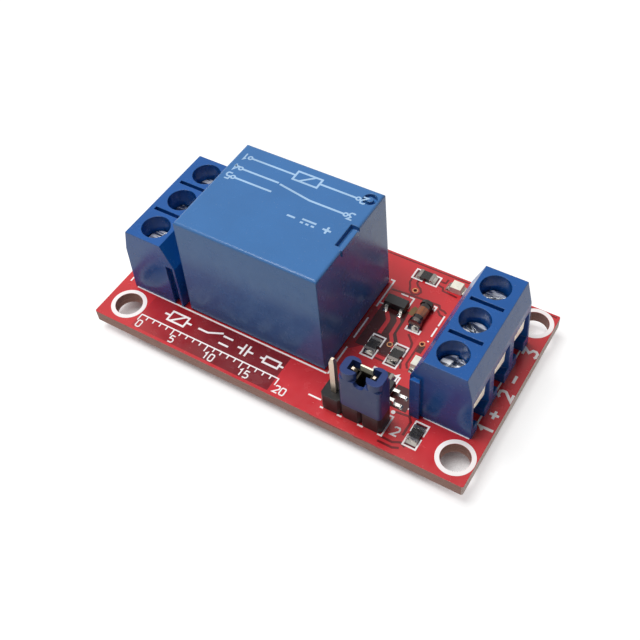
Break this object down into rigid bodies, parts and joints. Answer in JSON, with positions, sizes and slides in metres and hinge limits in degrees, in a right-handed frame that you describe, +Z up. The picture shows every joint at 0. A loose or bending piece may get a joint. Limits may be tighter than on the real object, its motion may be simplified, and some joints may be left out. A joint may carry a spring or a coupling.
{
  "type": "relay module board",
  "caption": "Small red circuit board with a sealed blue relay, screw terminal blocks at both ends, a selector header with a jumper cap and a surface-mount driver circuit.",
  "frame": {"origin": "centre of the four mounting holes, on the underside of the board", "axes": "+X along the board towards the input terminals, +Y across the board, +Z up out of the component side"},
  "size_m": [0.05, 0.026, 0.018],
  "materials": {
    "board_red": "glossy solder mask over glass-epoxy",
    "solder": "bright, slightly rippled solder and tin plate",
    "relay_blue": "satin moulded case",
    "relay_base": "moulded base with sealing resin",
    "black_plastic": "satin moulded plastic",
    "copper_wire": "enamelled copper winding",
    "relay_iron": "plated soft iron",
    "contact_alloy": "stamped copper alloy",
    "terminal_blue": "semi-gloss moulded housing",
    "tinned_steel": "warm tin plate",
    "screw_steel": "bright plated screw",
    "gold_plate": "thin gold flash on brass",
    "jumper_navy": "moulded cap, slightly glossy top",
    "led_cream": "cast resin on a white base",
    "diode_glass": "amber glass between tinned caps",
    "resistor_ceramic": "glazed black film, tinned ends"
  },
  "bodies": {
    "board": {"pcb": "board_red", "solder_joints": "solder", "relay_cover": "relay_blue", "relay_base": "relay_base", "relay_bobbin": "black_plastic", "relay_coil": "copper_wire", "relay_core": "relay_iron", "relay_yoke": "relay_iron", "relay_no_terminal": "contact_alloy", "relay_nc_terminal": "contact_alloy", "relay_com_terminal": "contact_alloy", "relay_coil_pins": "solder", "output_housing": "terminal_blue", "input_housing": "terminal_blue", "output_cage_1": "tinned_steel", "output_cage_2": "tinned_steel", "output_cage_3": "tinned_steel", "input_cage_1": "tinned_steel", "input_cage_2": "tinned_steel", "input_cage_3": "tinned_steel", "header_base": "black_plastic", "header_pins": "gold_plate", "resistor_1": "resistor_ceramic", "resistor_2": "resistor_ceramic", "resistor_3": "resistor_ceramic", "resistor_4": "resistor_ceramic", "resistor_5": "resistor_ceramic", "power_led": "led_cream", "status_led": "led_cream", "transistor": "black_plastic", "optocoupler": "black_plastic", "flyback_diode": "diode_glass"},
    "armature": {"relay_armature": "relay_iron", "relay_contact_spring": "contact_alloy"},
    "jumper": {"jumper_cap": "jumper_navy", "jumper_contact": "gold_plate"},
    "output_clamp_1": {"output_guard_1": "tinned_steel"},
    "output_screw_1": {"output_screw_1": "screw_steel"},
    "output_clamp_2": {"output_guard_2": "tinned_steel"},
    "output_screw_2": {"output_screw_2": "screw_steel"},
    "output_clamp_3": {"output_guard_3": "tinned_steel"},
    "output_screw_3": {"output_screw_3": "screw_steel"},
    "input_clamp_1": {"input_guard_1": "tinned_steel"},
    "input_screw_1": {"input_screw_1": "screw_steel"},
    "input_clamp_2": {"input_guard_2": "tinned_steel"},
    "input_screw_2": {"input_screw_2": "screw_steel"},
    "input_clamp_3": {"input_guard_3": "tinned_steel"},
    "input_screw_3": {"input_screw_3": "screw_steel"}
  },
  "joints": [
    {"name": "armature_pull", "type": "hinge", "parent": "board", "child": "armature", "pos_m": [0.00105, 0.0003, 0.01182], "axis": [0, 1, 0], "range_deg": [-2.2, 0], "stiffness_Nm_per_rad": 0.05, "springref_deg": 2.86},
    {"name": "jumper_pull", "type": "slide", "parent": "board", "child": "jumper", "axis": [0, 0, 1], "range_m": [0, 0.0062]},
    {"name": "output_clamp_1_lift", "type": "slide", "parent": "board", "child": "output_clamp_1", "axis": [0, 0, 1], "range_m": [-0.0005, 0.00185]},
    {"name": "output_screw_1_turn", "type": "hinge", "parent": "output_clamp_1", "child": "output_screw_1", "pos_m": [-0.0196, 0.00498, 0.0096], "axis": [0, 0, 1], "range_deg": [-362, 1334]},
    {"name": "output_clamp_2_lift", "type": "slide", "parent": "board", "child": "output_clamp_2", "axis": [0, 0, 1], "range_m": [-0.0005, 0.00185]},
    {"name": "output_screw_2_turn", "type": "hinge", "parent": "output_clamp_2", "child": "output_screw_2", "pos_m": [-0.0196, -0.0001, 0.0096], "axis": [0, 0, 1], "range_deg": [-362, 1334]},
    {"name": "output_clamp_3_lift", "type": "slide", "parent": "board", "child": "output_clamp_3", "axis": [0, 0, 1], "range_m": [-0.0005, 0.00185]},
    {"name": "output_screw_3_turn", "type": "hinge", "parent": "output_clamp_3", "child": "output_screw_3", "pos_m": [-0.0196, -0.00518, 0.0096], "axis": [0, 0, 1], "range_deg": [-362, 1334]},
    {"name": "input_clamp_1_lift", "type": "slide", "parent": "board", "child": "input_clamp_1", "axis": [0, 0, 1], "range_m": [-0.0005, 0.00185]},
    {"name": "input_screw_1_turn", "type": "hinge", "parent": "input_clamp_1", "child": "input_screw_1", "pos_m": [0.01895, -0.00518, 0.0096], "axis": [0, 0, 1], "range_deg": [-362, 1334]},
    {"name": "input_clamp_2_lift", "type": "slide", "parent": "board", "child": "input_clamp_2", "axis": [0, 0, 1], "range_m": [-0.0005, 0.00185]},
    {"name": "input_screw_2_turn", "type": "hinge", "parent": "input_clamp_2", "child": "input_screw_2", "pos_m": [0.01895, -0.0001, 0.0096], "axis": [0, 0, 1], "range_deg": [-362, 1334]},
    {"name": "input_clamp_3_lift", "type": "slide", "parent": "board", "child": "input_clamp_3", "axis": [0, 0, 1], "range_m": [-0.0005, 0.00185]},
    {"name": "input_screw_3_turn", "type": "hinge", "parent": "input_clamp_3", "child": "input_screw_3", "pos_m": [0.01895, 0.00498, 0.0096], "axis": [0, 0, 1], "range_deg": [-362, 1334]}
  ],
  "couplings": [
    {"joint": "output_screw_1_turn", "follows": "output_clamp_1_lift", "rad_per_m": 12566},
    {"joint": "output_screw_2_turn", "follows": "output_clamp_2_lift", "rad_per_m": 12566},
    {"joint": "output_screw_3_turn", "follows": "output_clamp_3_lift", "rad_per_m": 12566},
    {"joint": "input_screw_1_turn", "follows": "input_clamp_1_lift", "rad_per_m": 12566},
    {"joint": "input_screw_2_turn", "follows": "input_clamp_2_lift", "rad_per_m": 12566},
    {"joint": "input_screw_3_turn", "follows": "input_clamp_3_lift", "rad_per_m": 12566}
  ]
}
